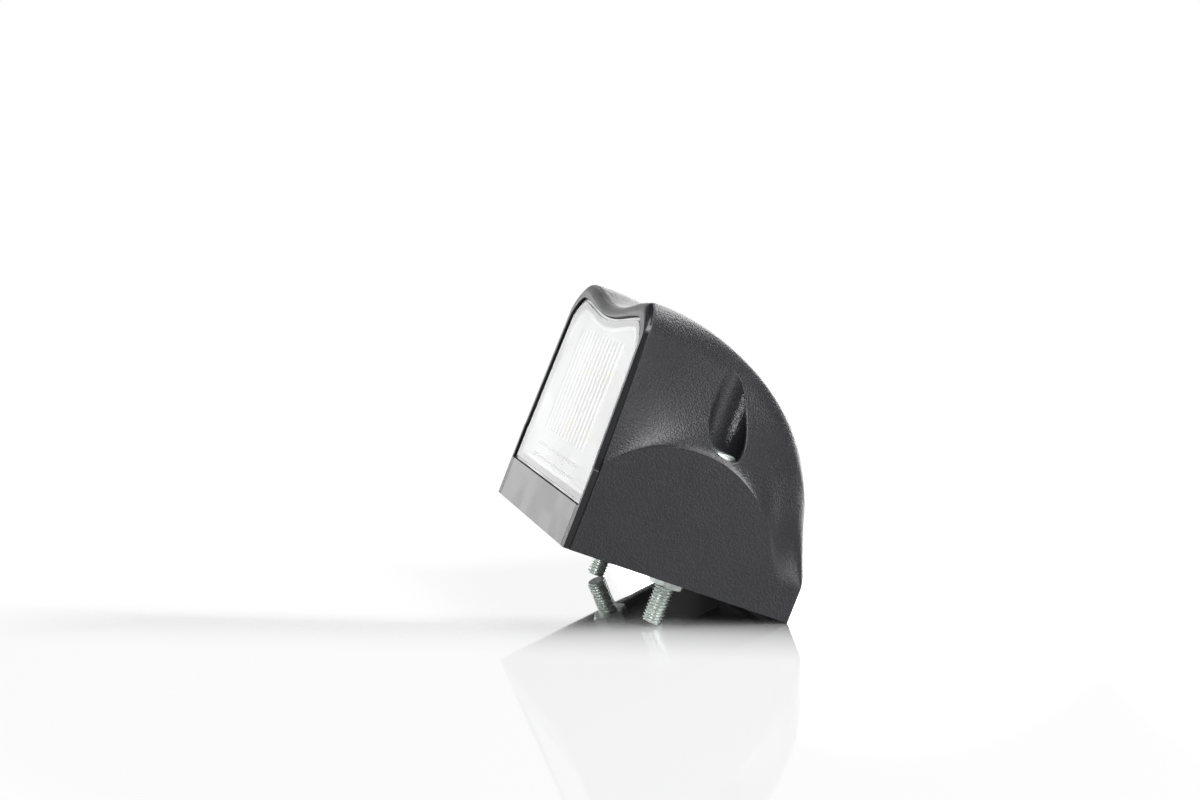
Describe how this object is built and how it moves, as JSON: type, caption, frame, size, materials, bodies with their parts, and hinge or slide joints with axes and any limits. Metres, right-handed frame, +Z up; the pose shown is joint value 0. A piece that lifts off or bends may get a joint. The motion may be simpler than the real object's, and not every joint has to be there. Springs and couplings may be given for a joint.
{
  "type": "number plate lamp",
  "caption": "Hooded number plate lamp: a moulded black housing with flat arched end panels, a clear lens in front, recessed fixing bolts and a cable entry underneath.",
  "frame": {"origin": "middle of the bolt pattern on the mounting plane, the plane of the hood's lower rim", "axes": "+Z up through the hood, -Y out of the lens, X along the bolt line"},
  "size_m": [0.062, 0.06, 0.0706],
  "materials": {
    "hood": "fine moulded grain",
    "base": "smooth moulding",
    "base_seal": "matt",
    "lens": "clear, fluted inside",
    "reflector": "bright white",
    "circuit_board": "white solder mask",
    "leds": "yellow phosphor in a white case",
    "resistors": "matt",
    "rectifier": "matt",
    "capacitor": "satin",
    "wire_terminals": "tinned",
    "board_screws": "zinc plated",
    "mounting_bolts": "zinc plated",
    "mounting_nuts": "zinc plated",
    "cable_grommet": "matt"
  },
  "bodies": {
    "root": {"hood": "hood", "base": "base", "base_seal": "base_seal", "lens": "lens", "reflector": "reflector", "circuit_board": "circuit_board", "leds": "leds", "resistors": "resistors", "rectifier": "rectifier", "capacitor": "capacitor", "wire_terminals": "wire_terminals", "board_screws": "board_screws", "mounting_bolts": "mounting_bolts", "mounting_nuts": "mounting_nuts", "cable_grommet": "cable_grommet"}
  },
  "joints": []
}
